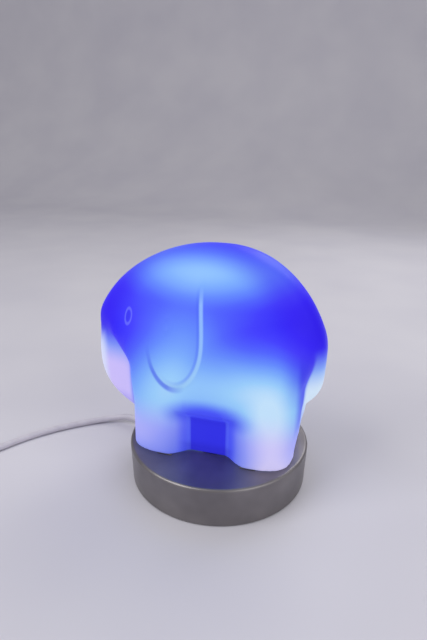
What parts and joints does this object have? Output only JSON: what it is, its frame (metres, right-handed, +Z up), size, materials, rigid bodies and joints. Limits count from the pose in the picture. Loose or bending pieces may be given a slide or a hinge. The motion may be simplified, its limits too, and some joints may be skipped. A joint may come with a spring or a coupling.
{
  "type": "table lamp",
  "caption": "Decorative elephant night light: satin glass shade on a round metal base, lit from inside by a screw-in bulb, on a corded supply with an in-line switch.",
  "frame": {"origin": "middle of the round base, on the surface it stands on", "axes": "+Z up; the elephant's head points to -X and its tail to +X; the pictured flank faces -Y"},
  "size_m": [0.479, 0.1833, 0.1985],
  "materials": {
    "glass": "satin",
    "opal": "satin",
    "base_paint": "satin",
    "iron": "matte",
    "steel": "satin",
    "steel_plate": "satin",
    "spring_steel": "polished",
    "felt": "matte",
    "silicone": "matte",
    "holder_plastic": "matte",
    "porcelain": "glossy",
    "brass": "satin",
    "nickel": "polished",
    "black_glass": "glossy",
    "solder": "satin",
    "bulb_plastic": "glossy",
    "board_white": "matte",
    "led_yellow": "glossy",
    "board_green": "matte",
    "block_plastic": "matte",
    "wire_brown": "satin",
    "wire_blue": "satin",
    "cord_pale": "satin",
    "switch_plastic": "satin",
    "rocker_plastic": "glossy"
  },
  "bodies": {
    "base": {"base_pan": "base_paint", "base_weight": "iron", "block_nut": "steel", "bottom_cover": "steel_plate", "centre_contact": "brass", "clip_rivets": "steel", "contact_bridge": "brass", "cord_coil": "cord_pale", "cord_gland": "cord_pale", "cord_lead": "cord_pale", "cord_mid": "cord_pale", "cord_tail": "cord_pale", "cover_screws": "steel", "foot_pad": "felt", "gland_nut": "holder_plastic", "hex_pillars": "steel", "holder_cap": "holder_plastic", "holder_core": "porcelain", "holder_sleeve": "holder_plastic", "holder_terminals": "brass", "holder_wires": "wire_blue", "inner_cord": "cord_pale", "neutral_link": "brass", "nipple": "steel", "nipple_nuts": "steel", "nipple_washer": "steel", "plug_body": "switch_plastic", "plug_pins": "nickel", "plug_sleeve": "cord_pale", "rocker_pin": "steel", "screw_shell": "brass", "seat_pads": "silicone", "shade_clips": "spring_steel", "supply_wires": "wire_brown", "switch_base": "switch_plastic", "switch_brass": "brass", "switch_screws": "steel", "switch_top": "switch_plastic", "switch_wires": "wire_brown", "terminal_block": "block_plastic", "terminal_screws": "steel", "terminal_tubes": "brass"},
    "shade": {"glass_shade": "glass"},
    "bulb": {"bulb_cap": "nickel", "cap_insulator": "black_glass", "cap_contact": "solder", "bulb_housing": "bulb_plastic", "led_board": "board_white", "led_chips": "led_yellow", "driver_board": "board_green", "bulb_globe": "opal"},
    "rocker": {"switch_rocker": "rocker_plastic"}
  },
  "joints": [
    {"name": "shade_lift", "type": "slide", "parent": "base", "child": "shade", "axis": [0, 0, 1], "range_m": [0, 0.15]},
    {"name": "bulb_out", "type": "slide", "parent": "base", "child": "bulb", "axis": [0, 0, 1], "range_m": [0, 0.024]},
    {"name": "switch_rock", "type": "hinge", "parent": "base", "child": "rocker", "pos_m": [-0.26107, -0.07895, 0.0135], "axis": [0.342, -0.9397, 0], "range_deg": [-18, 0]}
  ]
}
